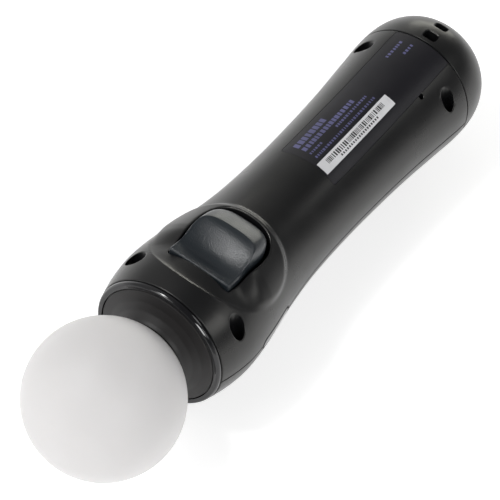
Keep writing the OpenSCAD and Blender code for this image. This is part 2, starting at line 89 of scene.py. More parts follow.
def station_slopes():
    x, r = STATIONS.T
    slopes = np.zeros(len(x))
    slopes[1:-1] = (r[2:] - r[:-2]) / (x[2:] - x[:-2])
    slopes[-1] = -0.26
    return slopes


SLOPES = station_slopes()


def handle_r(x):
    """Radius of the wand's body at x, its tail included."""
    x = np.asarray(x, float)
    i = np.clip(np.searchsorted(STATIONS[:, 0], x, side="right") - 1, 0, len(STATIONS) - 2)
    (x0, r0), (x1, r1) = STATIONS[i].T, STATIONS[i + 1].T
    h = x1 - x0
    t = np.clip((x - x0) / h, 0, 1)
    r = (r0 * (1 + 2 * t) * (1 - t) ** 2 + h * SLOPES[i] * t * (1 - t) ** 2
         + r1 * t * t * (3 - 2 * t) + h * SLOPES[i + 1] * t * t * (t - 1))
    closing = np.clip((TAIL_X - x) / (TAIL_X - TAIL_END), 0, 1)
    return np.where(x < TAIL_X, TAIL_R * (1 - closing ** TAIL_POWER) ** (1 / TAIL_POWER), r)


def body_rows(inset, angles, xs):
    """(x, radius) rows of the body with its skin moved in: tail angles, then places along it."""
    a = np.radians(np.asarray(angles, float))
    tail_x = TAIL_X - (TAIL_X - TAIL_END - inset) * np.sin(a) ** (2 / TAIL_POWER)
    tail_r = (TAIL_R - inset) * np.cos(a) ** (2 / TAIL_POWER)
    xs = np.asarray(xs, float)
    return np.c_[np.r_[tail_x, xs], np.r_[tail_r, handle_r(xs) - inset]]


def smooth(t):
    t = np.clip(t, 0, 1)
    return t * t * (3 - 2 * t)


def soft_min(a, b, width=0.12):
    return -width * np.logaddexp(-np.asarray(a) / width, -b / width)


def fillet(distance, radius):
    """How far a rounded edge falls under the surface at a distance from the edge."""
    d = np.clip(distance, 0, radius)
    return radius - np.sqrt(np.maximum(radius ** 2 - (radius - d) ** 2, 0))


def skin_z(x, y):
    return np.sqrt(np.maximum(handle_r(x) ** 2 - np.asarray(y, float) ** 2, 0))


# ---- outlines ----

def rounded(points, radius, steps=5):
    """A closed polygon with its corners rounded by radius, or by one radius for each corner."""
    pts = np.array(points, float)
    radii = np.broadcast_to(radius, len(pts))
    out = []
    for i, p in enumerate(pts):
        to_a, to_b = pts[i - 1] - p, pts[(i + 1) % len(pts)] - p
        la, lb = np.linalg.norm(to_a), np.linalg.norm(to_b)
        half = math.acos(np.clip(to_a @ to_b / (la * lb), -1, 1)) / 2
        reach = min(radii[i] / max(math.tan(half), 1e-6), 0.48 * la, 0.48 * lb)
        if reach < 1e-4:
            out.append(p)
            continue
        a, b = p + to_a / la * reach, p + to_b / lb * reach
        out += [(1 - t) ** 2 * a + 2 * t * (1 - t) * p + t * t * b
                for t in np.linspace(0, 1, steps)]
    return np.array(out)


def resampled(outline, spacing):
    """The same closed outline with extra points wherever two are further apart than spacing."""
    out = []
    for a, b in zip(outline, np.roll(outline, -1, axis=0)):
        n = max(1, int(np.linalg.norm(b - a) / spacing))
        out += [a + (b - a) * k / n for k in range(n)]
    return np.array(out)


def box_outline(x0, x1, y0, y1):
    return [(x0, y0), (x1, y0), (x1, y1), (x0, y1)]


def circle(x, y, r, n=72):
    a = np.linspace(0, 2 * math.pi, n, endpoint=False)
    return np.c_[x + r * np.cos(a), y + r * np.sin(a)]


def offset(outline, d):
    """The outline moved outwards by d, for an outline that runs anticlockwise."""
    along = np.roll(outline, -1, axis=0) - np.roll(outline, 1, axis=0)
    along /= np.linalg.norm(along, axis=1)[:, None]
    return outline + d * np.c_[along[:, 1], -along[:, 0]]


# ---- meshes ----

def new_mesh(name, points, faces):
    pts = np.array(points, float).reshape(-1, 3)
    pts[:, 2] += AXIS_Z
    mesh = bpy.data.meshes.new(name)
    mesh.from_pydata((pts * MM).tolist(), [], [list(map(int, f)) for f in faces])
    bm = bmesh.new()
    bm.from_mesh(mesh)
    bmesh.ops.remove_doubles(bm, verts=bm.verts, dist=1e-7)
    bmesh.ops.dissolve_degenerate(bm, edges=bm.edges, dist=1e-8)
    bmesh.ops.recalc_face_normals(bm, faces=bm.faces)
    bm.to_mesh(mesh)
    bm.free()
    obj = bpy.data.objects.new(name, mesh)
    bpy.context.scene.collection.objects.link(obj)
    return obj


def loft(name, rings, closed=False):
    """A solid through rings of points, closed on itself or with an end face at each end."""
    rings = [np.asarray(r, float) for r in rings]
    count, n = len(rings), len(rings[0])
    faces = []
    for k in range(count if closed else count - 1):
        a, b = k * n, (k + 1) % count * n
        faces += [(a + i, a + (i + 1) % n, b + (i + 1) % n, b + i) for i in range(n)]
    if not closed:
        faces += [range(n), range((count - 1) * n, count * n)]
    return new_mesh(name, np.concatenate(rings), faces)


def lathe(name, profile, segments=192):
    """A closed profile of (radius, x) points turned round the wand's axis."""
    rings = []
    for a in np.linspace(0, 2 * math.pi, segments, endpoint=False):
        rings.append([(x, r * math.sin(a), r * math.cos(a)) for r, x in profile])
    return loft(name, rings, closed=True)


def prism(name, outline, z0, z1):
    return loft(name, [np.c_[outline, np.full(len(outline), z)] for z in (z0, z1)])


def block(name, low, high):
    (x0, y0, z0), (x1, y1, z1) = low, high
    return prism(name, box_outline(x0, x1, y0, y1), z0, z1)


def grid_shell(name, outer, inner, keep_u, keep_v):
    """A closed shell from an outer grid of points and an inner one at fewer of its lines."""
    nu, nv = outer.shape[:2]
    o = np.arange(nu * nv).reshape(nu, nv)
    i = nu * nv + np.arange(len(keep_u) * len(keep_v)).reshape(len(keep_u), len(keep_v))
    faces = []
    for g in (o, i):
        quads = np.stack([g[:-1, :-1], g[1:, :-1], g[1:, 1:], g[:-1, 1:]], -1)
        faces += quads.reshape(-1, 4).tolist()
    for edge_o, edge_i, keep in (
            (o[0], i[0], keep_v), (o[-1], i[-1], keep_v),
            (o[:, 0], i[:, 0], keep_u), (o[:, -1], i[:, -1], keep_u)):
        for k in range(len(keep) - 1):
            strip = edge_o[keep[k]:keep[k + 1] + 1].tolist()
            faces.append(strip + [int(edge_i[k + 1]), int(edge_i[k])])
    return new_mesh(name, np.concatenate([outer.reshape(-1, 3), inner.reshape(-1, 3)]), faces)


def combine(obj, others, operation):
    """obj joined with, cut by or limited to other solids, which are used up."""
    for other in others:
        m = obj.modifiers.new("combine", "BOOLEAN")
        m.operation, m.object, m.solver = operation, other, "MANIFOLD"
        shown = obj.evaluated_get(bpy.context.evaluated_depsgraph_get())
        mesh = bpy.data.meshes.new_from_object(shown)
        if not len(mesh.polygons):
            raise RuntimeError(f"{operation} of {obj.name} with {other.name} left nothing")
        obj.modifiers.clear()
        obj.data = mesh
        bpy.data.objects.remove(other)
    return obj


def copy_of(node):
    """A welded copy of a CAD node's mesh, at the same place."""
    mesh = frame["nodes"][node].data.copy()
    bm = bmesh.new()
    bm.from_mesh(mesh)
    bmesh.ops.remove_doubles(bm, verts=bm.verts, dist=1e-6)
    bm.to_mesh(mesh)
    bm.free()
    obj = bpy.data.objects.new(node + "_copy", mesh)
    bpy.context.scene.collection.objects.link(obj)
    return obj


def place(obj, body, slot, nodes=(), angle=30, name=None):
    """Shades a finished piece, gives it its material and puts it on its CAD body."""
    mesh = obj.data
    bm = bmesh.new()
    bm.from_mesh(mesh)
    bmesh.ops.dissolve_degenerate(bm, edges=bm.edges, dist=2e-7)
    for face in bm.faces:
        face.smooth = True
        face.material_index = 0
    limit = math.radians(angle)
    for edge in bm.edges:
        edge.smooth = len(edge.link_faces) == 2 and edge.calc_face_angle(0) < limit
    bm.to_mesh(mesh)
    bm.free()
    mesh.materials.clear()
    mesh.materials.append(MATERIALS[slot])
    obj.name = name or obj.name
    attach(obj, body)
    if nodes:
        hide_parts(*nodes)
    return obj


# ---- materials ----

MATERIALS = {}


def ranged(tree, value, low, high, to_low, to_high):
    """A node that takes value from one range to another."""
    node = tree.nodes.new("ShaderNodeMapRange")
    for socket, number in (("From Min", low), ("From Max", high), ("To Min", to_low),
                           ("To Max", to_high)):
        node.inputs[socket].default_value = number
    tree.links.new(value, node.inputs["Value"])
    return node


def material(name, colour, rough, mottle=0.12, mottle_scale=45, spread=0.05, grain=2600,
             depth=0.01, stretch=(1, 1, 1), **sockets):
    """Moulded, drawn or printed surface: mottled colour, uneven gloss and a fine grain.

    grain is in bumps a metre and depth in mm. stretch draws the grain out along an axis.
    """
    mat = bpy.data.materials.new("look_" + name)
    mat.use_nodes = True
    nodes, link = mat.node_tree.nodes, mat.node_tree.links.new
    shader = nodes["Principled BSDF"]
    where = nodes.new("ShaderNodeTexCoord").outputs["Object"]

    def noise(scale, detail, squeeze=(1, 1, 1)):
        mapping = nodes.new("ShaderNodeMapping")
        mapping.inputs["Scale"].default_value = squeeze
        link(where, mapping.inputs["Vector"])
        texture = nodes.new("ShaderNodeTexNoise")
        texture.inputs["Scale"].default_value = scale
        texture.inputs["Detail"].default_value = detail
        link(mapping.outputs[0], texture.inputs["Vector"])
        return texture.outputs["Fac"]

    def spread_noise(value, low, high):
        return ranged(mat.node_tree, value, 0.3, 0.7, low, high).outputs["Result"]

    mix = nodes.new("ShaderNodeMix")
    mix.data_type = "RGBA"
    for socket, share in ((6, 1 - mottle), (7, 1 + mottle)):
        mix.inputs[socket].default_value = [min(1.0, c * share) for c in colour] + [1]
    link(spread_noise(noise(mottle_scale, 4), 0, 1), mix.inputs["Factor"])
    link(mix.outputs[2], shader.inputs["Base Color"])
    link(spread_noise(noise(90, 5), rough - spread, rough + spread), shader.inputs["Roughness"])
    bump = nodes.new("ShaderNodeBump")
    bump.inputs["Strength"].default_value = 1.0
    bump.inputs["Distance"].default_value = depth * MM
    link(noise(grain, 2, stretch), bump.inputs["Height"])
    link(bump.outputs["Normal"], shader.inputs["Normal"])
    for socket, value in sockets.items():
        shader.inputs[socket.replace("_", " ")].default_value = value
    MATERIALS[name] = mat
    return mat


def make_materials():
    material("cover", (0.0060, 0.0062, 0.0070), 0.30, grain=3000, depth=0.010, spread=0.04,
             Specular_IOR_Level=0.40, Specular_Tint=(1, 0.985, 0.94, 1))
    material("gloss_black", (0.005, 0.005, 0.006), 0.09, grain=700, depth=0.002, spread=0.03)
    material("soft_rubber", (0.009, 0.008, 0.008), 0.5, grain=3500, depth=0.012,
             Specular_IOR_Level=0.40)
    material("sphere", (0.63, 0.617, 0.615), 0.5, mottle=0.015, grain=2500, depth=0.004,
             Subsurface_Weight=0.35, Subsurface_Scale=0.004, Subsurface_Radius=(1, 0.95, 0.9),
             Specular_IOR_Level=0.3)
    material("grey_plastic", (0.06, 0.06, 0.063), 0.5, depth=0.01)
    material("circuit_board", (0.015, 0.10, 0.04), 0.35, grain=1500, depth=0.006, mottle=0.25)
    material("led_body", (0.85, 0.84, 0.78), 0.35, mottle=0.03)
    material("clear_lens", (0.95, 0.97, 1.0), 0.08, mottle=0.02, spread=0.02, depth=0.001,
             Transmission_Weight=0.9, IOR=1.49)
    material("flex", (0.55, 0.27, 0.06), 0.3, mottle=0.1, depth=0.004)
    material("trigger", (0.012, 0.016, 0.020), 0.32, grain=2600, depth=0.06, spread=0.05)
    material("steel", (0.6, 0.6, 0.62), 0.28, stretch=(0.1, 1, 1), depth=0.003, Metallic=1.0)
    material("button", (0.016, 0.016, 0.018), 0.34, grain=2500, depth=0.006)
    material("black_plastic", (0.02, 0.02, 0.02), 0.45, depth=0.01)
    material("silicone", (0.3, 0.31, 0.33), 0.6, depth=0.01)
    material("red_lens", (0.35, 0.02, 0.02), 0.15, Transmission_Weight=0.4, depth=0.001)
    material("tinned_steel", (0.7, 0.7, 0.71), 0.32, grain=1800, depth=0.004, Metallic=1.0)
    material("ivory_plastic", (0.75, 0.72, 0.62), 0.4, mottle=0.04, depth=0.006)
    material("battery_foil", (0.35, 0.37, 0.40), 0.35, grain=900, depth=0.02, Metallic=0.8)
    material("red_wire", (0.5, 0.02, 0.02), 0.35, depth=0.004)
    material("tungsten", (0.3, 0.29, 0.27), 0.45, grain=3500, depth=0.01, Metallic=1.0)
    material("blue_wire", (0.03, 0.04, 0.3), 0.35, depth=0.004)
    material("screw", (0.45, 0.45, 0.46), 0.3, grain=2200, depth=0.004, Metallic=1.0)
    material("gold", (0.8, 0.6, 0.25), 0.25, grain=2200, depth=0.003, Metallic=1.0)
    material("label", (0.007, 0.0065, 0.0095), 0.36, grain=2000, depth=0.003,
             Specular_IOR_Level=0.40)
    material("silver_foil", (0.80, 0.80, 0.82), 0.42, mottle=0.06, mottle_scale=160,
             stretch=(0.15, 1, 1), depth=0.003, Metallic=0.35)
    material("ink", (0.085, 0.085, 0.19), 0.45, mottle=0.3, depth=0.002)
    material("bars", (0.02, 0.02, 0.022), 0.5, mottle=0.3, depth=0.002)


# ---- casing ----

PLATFORM = {"x": 27.0, "ahead": 18.6, "behind": 16.3, "half": 23.6, "rise_run": 3.0,
            "dish_run": 3.5}


def platform(x, arc):
    """Height over the handle's curve of the platform round the trigger, and of its dish."""
    dx = x - PLATFORM["x"]
    length = np.where(dx > 0, PLATFORM["ahead"], PLATFORM["behind"])
    power = np.where(dx > 0, 2.0, 2.3)
    size = ((np.abs(dx) / length) ** power
            + (np.abs(arc) / PLATFORM["half"]) ** power) ** (1 / power)
    reach = np.maximum(np.hypot(dx, arc), 1e-6)
    inside = np.maximum(reach * (1 / np.maximum(size, 1e-6) - 1), 0)
    ahead = dx / reach
    rise = np.interp(ahead, [-1, 0, 0.5], [1.3, 0.8, 0])
    dish = 1.7 * smooth((ahead - 0.15) / 0.5)
    lip = 0.09 * smooth((ahead - 0.1) / 0.3) * np.exp(-((inside - 0.15) / 0.4) ** 2)
    return (rise * smooth(inside / PLATFORM["rise_run"])
            + lip * (inside > 0) - dish * (1 - np.exp(-inside / PLATFORM["dish_run"])))


def rear_z(x, y):
    """Height of the rear cover's skin over the axis."""
    r = handle_r(x)
    for _ in range(3):
        arc = handle_r(x) * np.arcsin(np.clip(y / r, -1, 1))
        r = handle_r(x) + platform(x, arc)
    return np.sqrt(np.maximum(r ** 2 - np.asarray(y, float) ** 2, 0))


def front_z(x, y):
    """Depth of the front cover's skin under the axis."""
    depth = skin_z(x, y)
    return np.where(np.asarray(x) > 0, soft_min(depth, DECK_Z), soft_min(depth, TAIL_FLAT_Z))


EDGE = [0, 0.03, 0.08, 0.15, 0.25, 0.5]  # lines across a rounded edge, from the edge
HALF_TURN = math.pi * 20                 # round half of the skin, at a radius of 20 mm


def spread_lines(low, high, step, fine=()):
    """Grid lines from low to high, closer at both ends and in the fine zones (low, high, step)."""
    lines = [low + e for e in EDGE] + [high - e for e in EDGE]
    zones = sorted(fine)
    at = low + EDGE[-1]
    for z0, z1, s in zones:
        lines += list(np.arange(at, z0, step)) + list(np.arange(z0, z1, s))
        at = z1
    lines += list(np.arange(at, high - EDGE[-1], step))
    lines = np.unique(np.round(lines, 4))
    keep = np.r_[True, np.diff(lines) > 0.02]
    return lines[keep]


def kept(lines, gap):
    """Indices of lines at least gap apart, with the first and the last."""
    out = [0]
    for i in range(1, len(lines) - 1):
        if lines[i] - lines[out[-1]] >= gap and lines[-1] - lines[i] >= gap:
            out.append(i)
    return out + [len(lines) - 1]


def cover_skin(name, rows, inner_rows, arcs, rear):
    """The skin of a cover: rows along the wand by arcs across it, rounded at the seams.

    The rear cover carries the platform round the trigger, the front cover is flattened.
    """
    x, r = rows.T
    xi, ri = inner_rows.T
    share = arcs / arcs[-1]
    centre = 0 if rear else math.pi

    def turned(x, r, share, outside):
        start = np.arcsin(np.clip(SEAM / np.maximum(r, 0.3), 0, 1))[:, None]
        angle = centre - math.pi / 2 + start + share[None, :] * (math.pi - 2 * start)
        radius = np.repeat(r[:, None], len(share), 1)
        if outside:
            across = np.minimum(arcs, arcs[-1] - arcs)[None, :]
            ends = np.minimum(np.abs(x - x[0]) if x[0] > -90 else 9, np.abs(x[-1] - x))[:, None]
            radius = radius + (platform(x[:, None], radius * angle) if rear else 0)
            radius = radius - np.maximum(fillet(across, EDGE_R), fillet(ends, EDGE_R))
        pts = np.stack([np.repeat(x[:, None], len(share), 1), radius * np.sin(angle),
                        radius * np.cos(angle)], -1)
        if not rear:
            limit = np.where(x > 0, DECK_Z, TAIL_FLAT_Z)[:, None] - (0 if outside else SKIN)
            pts[..., 2] = -soft_min(-pts[..., 2], limit)
        return pts

    keep_u, keep_v = kept(np.arange(len(x)), 3), kept(arcs, 3)
    inner = turned(xi[keep_u], ri[keep_u], share[keep_v], False)
    return grid_shell(name, turned(x, r, share, True), inner, keep_u, keep_v)


def core_of(node):
    """What the CAD cover has under its skin: bosses, ribs, posts and ears."""
    rows = body_rows(CORE, np.linspace(89.5, 2, 30), np.arange(TAIL_X, NECK_X + 0.1, 1.5))
    rows = np.r_[rows, [[NECK_X + 0.5, STATIONS[-1, 1] - CORE]]]
    turns = np.linspace(0, 2 * math.pi, 144, endpoint=False)
    solid = loft("core", [np.c_[np.full(len(turns), x), r * np.sin(turns), r * np.cos(turns)]
                          for x, r in rows])
    return combine(copy_of(node), [solid], "INTERSECT")


def sunk(name, outline, bottom, top, put, chamfer):
    """Cutter with upright walls from bottom, and a chamfer that follows the skin at top."""
    def ring(d, height):
        o = offset(outline, d)
        return put(o[:, 0], o[:, 1], height(o[:, 0], o[:, 1]))
    rings = [ring(0, lambda u, v: np.full(len(u), float(bottom))),
             ring(0, lambda u, v: top(u, v) - chamfer),
             ring(chamfer + 0.3, lambda u, v: top(u, v) + 0.3),
             ring(chamfer + 0.31, lambda u, v: top(u, v) + 3)]
    return loft(name, rings)


def up(u, v, h):
    return np.stack([u, v, h], -1)


def down(u, v, h):
    return np.stack([u, v, -h], -1)


def to_right(u, v, h):
    return np.stack([u, h, v], -1)


def to_left(u, v, h):
    return np.stack([u, -h, v], -1)


def across_z(x, z):
    return np.sqrt(np.maximum(handle_r(x) ** 2 - z ** 2, 0))


def d_outline(tail_x, side_x, half, power, end_x, end_half, corner):
    """Outline with a round tail and a straight sphere end, anticlockwise from the tail."""
    phi = np.linspace(0, math.pi / 2, 30, endpoint=False)
    tail = np.c_[side_x - (side_x - tail_x) * np.cos(phi) ** (2 / power),
                 half * np.sin(phi) ** (2 / power)]
    side = np.linspace([side_x, half], [end_x - corner, end_half], 16, endpoint=False)
    t = np.linspace(0, 1, 7, endpoint=False)[:, None]
    turn = ((1 - t) ** 2 * np.array([end_x - corner, end_half])
            + 2 * t * (1 - t) * np.array([end_x, end_half])
            + t * t * np.array([end_x, end_half - corner]))
    end = np.linspace([end_x, end_half - corner], [end_x, 0], 9)
    upper = np.r_[tail, side, turn, end]
    return np.r_[upper * [1, -1], upper[-2:0:-1]]


WELL = d_outline(13.75, 25.5, 11.1, 2.8, 39.1, 10.35, 0.9)


def trigger_well():
    """Cutter for the trigger's well, with a rim that is rounder on the tail side."""
    radius = np.interp(WELL[:, 0], [25, 33, 38], [0.95, 0.5, 0.15])[:, None]
    rings = [np.c_[WELL, np.full(len(WELL), 13.6)]]
    for share in (0, 0.04, 0.12, 0.25, 0.42, 0.6, 0.74):
        p = offset(WELL, radius * share)
        z = rear_z(p[:, 0], p[:, 1]) - fillet(radius[:, 0] * share, radius[:, 0])
        rings.append(np.c_[p, z])
    p = offset(WELL, radius * 1.12)
    rings.append(np.c_[p, rear_z(p[:, 0], p[:, 1]) + 0.06 * radius[:, 0]])
    rings.append(np.c_[p, np.full(len(p), 30.0)])
    return loft("well", rings)


LABEL = (-79, -17, -9.5, 9.5)            # x and y ends of the label's recess


def sheet_on_skin(name, outline, low, high):
    """A thin solid between two heights over the skin, such as a label."""
    centre = outline.mean(0)
    sizes = list(np.linspace(0.02, 1, 9))
    out = []
    for side, order in ((low, sizes), (high, sizes[::-1])):
        for size in order:
            p = centre + (outline - centre) * size
            out.append(up(p[:, 0], p[:, 1], skin_z(p[:, 0], p[:, 1]) + side))
    return loft(name, out)


CASE_SCREWS = [(-71.5, 15.2), (-71.5, -15.2), (43, 17.2), (43, -17.2)]
SCREW_WELL_R, SCREW_SEAT_Z = 2.5, 4.02
RESET, PINHOLE_R = (-63.1, 9.8), 0.92
SIDE_BUTTON = (25.5, 0.0, 7.5, 1.7)      # middle, half length and half width
SIDE_GAP = 0.32


def stadium(x, y, half_l, r, n=20):
    a = np.linspace(-math.pi / 2, math.pi / 2, n)
    return np.concatenate([np.c_[x + s * (half_l - r + r * np.cos(a)), y + s * r * np.sin(a)]
                           for s in (1, -1)])


def side_cutters():
    x, z, half_l, r = SIDE_BUTTON
    outline = resampled(stadium(x, z, half_l + 0.6, r + SIDE_GAP), 0.8)
    return [sunk("slot", outline, 15, across_z, put, 0.24) for put in (to_right, to_left)]


def make_rear_cover():
    xs = spread_lines(CAP_X + SEAM, NECK_X - 0.1, 1.5, [(9.5, 36, 0.5), (36, 47, 0.27)])
    arcs = spread_lines(0, HALF_TURN, 1.2, [(9, HALF_TURN - 9, 0.5)])
    skin = cover_skin("rear_skin", body_rows(0, [], xs), body_rows(SKIN, [], xs), arcs, rear=True)
    combine(skin, [core_of("rear_cover")], "UNION")
    cutters = [trigger_well()]
    cutters += [sunk("screw_well", circle(x, y, SCREW_WELL_R), SCREW_SEAT_Z, rear_z, up, EDGE_R)
                for x, y in CASE_SCREWS]
    cutters.append(sunk("pinhole", circle(*RESET, PINHOLE_R, 32), 12, rear_z, up, 0.12))
    recess = resampled(rounded(box_outline(*LABEL), 1.0), 1.2)
    cutters.append(sheet_on_skin("recess", recess, -0.3, 3))
    cutters += side_cutters()
    combine(skin, cutters, "DIFFERENCE")
    place(skin, "handle", "cover", ["rear_cover"], name="rear_cover_shell")


MOVE = (27.0, 0.0, 8.2, 5.8)             # middle, half length and end radius
ACTION = [(37.5, 7.4), (37.5, -7.4), (16.5, 7.4), (16.5, -7.4)]
ACTION_R = 3
HOME = (5.0, 0.0, 3.6)
STATUS_LENS = (-4, 0, 0.9)
BUTTON_GAP = 0.25
# Mouths of the tail's sockets: (y ends, z ends, corner radius), then the charging contacts
SOCKETS = ((-4.05, 4.05, -8.2, -3.9, 0.9), (-5.4, 5.4, -13.3, -9.1, 0.8))
CONTACT_Y, CONTACT_Z, CONTACT_R = 8.6, -6, 1.66
STRAP_SLOTS = ((-84.8, -81.2, 2.3), (-91.2, -88.2, 2.1))     # x ends and half width


def make_front_cover():
    xs = spread_lines(TAIL_X + 0.6, NECK_X - 0.1, 1.4)
    xs = xs[xs > TAIL_X + 1.2]
    angles = np.r_[np.linspace(88, 4, 40), 2, 1]
    rows = body_rows(0, angles, np.r_[TAIL_X, xs])
    inner = body_rows(SKIN, angles, np.r_[TAIL_X, xs])
    arcs = spread_lines(0, HALF_TURN, 1.2)
    skin = cover_skin("front_skin", rows, inner, arcs, rear=False)
    combine(skin, [block("tail", (-120, -40, CAP_Z - SEAM), (CAP_X + SEAM, 40, 40))], "DIFFERENCE")
    combine(skin, [core_of("front_cover")], "UNION")
    oval = stadium(*MOVE[:2], MOVE[2] + BUTTON_GAP, MOVE[3] + BUTTON_GAP)
    cutters = [sunk("oval", resampled(oval, 0.7), 15, front_z, down, 0.2)]
    cutters += [sunk("hole", circle(x, y, ACTION_R + BUTTON_GAP), 15, front_z, down, 0.2)
                for x, y in ACTION]
    cutters.append(sunk("hole", circle(*HOME[:2], HOME[2] + BUTTON_GAP), 13, front_z, down, 0.2))
    cutters.append(sunk("hole", circle(*STATUS_LENS, 32), 12, front_z, down, 0.05))
    mouths = [rounded(box_outline(*ends), r) for *ends, r in SOCKETS]
    mouths += [circle(s * CONTACT_Y, CONTACT_Z, CONTACT_R, 48) for s in (1, -1)]
    for mouth in mouths:
        cutters.append(loft("mouth", [np.c_[np.full(len(mouth), x), mouth] for x in (-110, -94)]))
    cutters += side_cutters()
    combine(skin, cutters, "DIFFERENCE")
    place(skin, "handle", "cover", ["front_cover"], name="front_cover_shell")


def make_tail_cap():
    angles = np.r_[np.linspace(90, 2, 60), 0.8]
    end_x = CAP_X - SEAM
    rows = body_rows(0, angles, [])
    rows = rows[rows[:, 0] < end_x - 0.1]
    rows = np.r_[rows, [[end_x - e, float(handle_r(end_x - e)) - fillet(e, EDGE_R)]
                        for e in (0.25, 0.15, 0.08, 0.03, 0)]]
    inner = body_rows(SKIN, angles, [])
    inner = np.r_[inner[inner[:, 0] < end_x - 0.1], [[end_x, TAIL_R - SKIN]]]
    profile = [(max(r, 0), x) for x, r in np.r_[rows, inner[::-1]]]
    skin = lathe("tail_skin", profile, 240)
    combine(skin, [block("below", (-120, -40, -40), (-60, 40, CAP_Z + SEAM))], "DIFFERENCE")
    combine(skin, [core_of("tail_cap")], "UNION")
    cutters = []
    for x0, x1, half in STRAP_SLOTS:
        slot = rounded(box_outline(x0, x1, -half, half), 1.2, 8)
        cutters.append(sunk("strap", resampled(slot, 0.6), 15, skin_z, up, 0.25))
    combine(skin, cutters, "DIFFERENCE")
    place(skin, "handle", "cover", ["tail_cap"], name="tail_cap_shell")


def make_neck():
    ring = rounded([(18.4, 48.6), (18.4, 51.62), (20.5, 51.62), (20.5, 52.5), (20.05, 53.2),
                    (18.75, 53.2), (18.75, 52.3), (17, 52.3), (17, 48.6)],
                   [0.1, 0.05, 0.25, 0.9, 0.6, 0.3, 0.1, 0.1, 0.1], 9)
    place(lathe("neck_ring_body", ring), "handle", "gloss_black", ["neck_ring"])
    collar = rounded([(18.55, 52.35), (18.55, 53.05), (17.6, 53.3), (15.4, 53.8), (13.2, 54.9),
                      (11.6, 56.4), (11, 57.4), (9.8, 57.2), (10.3, 55.9), (12.3, 53.9),
                      (14.8, 52.75), (16.9, 52.35)],
                     [0.1, 0.35, 1, 3, 3, 2, 0.3, 0.3, 2, 2, 2, 1], 7)
    place(lathe("collar_body", collar), "handle", "soft_rubber", ["collar"], angle=40)


def make_sphere():
    """Hollow ball with a neck and a flange, about the wand's axis."""
    neck, bore, wall = 9.3, 8.0, 1.6
    a0 = math.asin(neck / SPHERE_R)
    a1 = math.asin(bore / (SPHERE_R - wall))
    outer = [(SPHERE_R * math.sin(a), SPHERE_X - SPHERE_R * math.cos(a))
             for a in np.linspace(a0, math.pi, 110)]
    inner = [((SPHERE_R - wall) * math.sin(a), SPHERE_X - (SPHERE_R - wall) * math.cos(a))
             for a in np.linspace(math.pi, a1, 70)]
    foot = [(bore, SPHERE_X - 25), (10.8, SPHERE_X - 25), (10.8, SPHERE_X - 24),
            (neck, SPHERE_X - 24)]
    profile = [(max(r, 0), x) for r, x in outer + inner] + foot
    place(lathe("light_sphere_body", profile, 256), "handle", "sphere", ["light_sphere"])


# ---- trigger ----

PIN = (41.0, 12.5)
FACE = {"peak_x": 22.9, "end_x": 38.45, "half": 9.9, "peak_z": 24.0, "fall": 3.8, "end_rise": 0.7,
        "dip": 1.2}
TRIGGER_WALL = 1.6
# The wall from its foot to the face: (share of the way in, share of the way up)
WALL = ((0.02, 0.2), (0.05, 0.33), (0.1, 0.44), (0.17, 0.53), (0.28, 0.62), (0.42, 0.71),
        (0.58, 0.8), (0.74, 0.88), (0.88, 0.945), (1, 1))
# The face from its rim to its middle: (share of its size, how far a rounded rim stands up)
CREASE = ((0.99, 0.03), (0.98, 0.05), (0.965, 0.04), (0.945, 0), (0.9, 0), (0.84, 0), (0.76, 0),
          (0.67, 0), (0.57, 0), (0.46, 0), (0.34, 0), (0.22, 0), (0.1, 0), (0.02, 0))


def face_z(x, y):
    """Height of the trigger's face: round at its peak, then hollowed for a fingertip."""
    t = np.clip((x - FACE["peak_x"]) / (FACE["end_x"] - FACE["peak_x"]), 0, 1)
    across = np.clip(1 - (y / FACE["half"]) ** 2, 0, 1)
    return (FACE["peak_z"] - FACE["fall"] * smooth((t - 0.05) / 0.74)
            + FACE["end_rise"] * smooth((t - 0.6) / 0.4)
            - FACE["dip"] * across * np.sin(math.pi * t) ** 1.5)


def trigger_rings(inset, low):
    """Rings from the foot of the trigger's skirt to the middle of its face, moved in by inset."""
    base = d_outline(14.7 + inset, 26, 10.1 - inset, 3.0, 38.8 - inset, 10.1 - inset, 0.9)
    face = d_outline(22.9 + inset / 2, 31, 9.7 - inset, 3.3, 38.4 - inset, 9.7 - inset, 0.7)
    gap = np.hypot(*(face - base).T)
    top = face_z(face[:, 0], face[:, 1]) - inset
    foot = top - 0.5 - 6.1 * gap / 8.3
    rings = [np.c_[base, np.full(len(base), low)], np.c_[base, foot]]
    for t, rise in WALL:
        rings.append(np.c_[base + (face - base) * t, foot + (top - foot) * rise])
    centre = np.array([31.0, 0.0])
    for size, lift in CREASE:
        p = centre + (face - centre) * size
        rings.append(np.c_[p, face_z(p[:, 0], p[:, 1]) + lift - inset])
    return rings


def rod_y(name, x, z, r, y0, y1):
    c = circle(x, z, r, 64)
    return loft(name, [np.stack([c[:, 0], np.full(64, y), c[:, 1]], -1) for y in (y0, y1)])


def make_trigger():
    body = loft("trigger_body", trigger_rings(0, 14.5))
    combine(body, [loft("hollow", trigger_rings(TRIGGER_WALL, 13.5))], "DIFFERENCE")
    adds = [prism("post", circle(24, 0, 2.4), 14.3, 21.7),
            block("hook", (13, -4, 14.5), (17, 4, 16.4))]
    cuts = []
    for s in (1, -1):
        y0, y1 = sorted((s * 7.6, s * 10.1))
        adds.append(block("web", (36, y0, PIN[1]), (PIN[0], y1, 16.6)))
        y0, y1 = sorted((s * 7.6, s * 10.8))
        adds.append(rod_y("knuckle", *PIN, 2.6, y0, y1))
        y0, y1 = sorted((s * 7, s * 12))
        cuts.append(rod_y("bore", *PIN, 1.25, y0, y1))
    combine(body, adds, "UNION")
    combine(body, cuts, "DIFFERENCE")
    place(body, "trigger", "trigger", ["trigger"], angle=48)


# ---- buttons ----

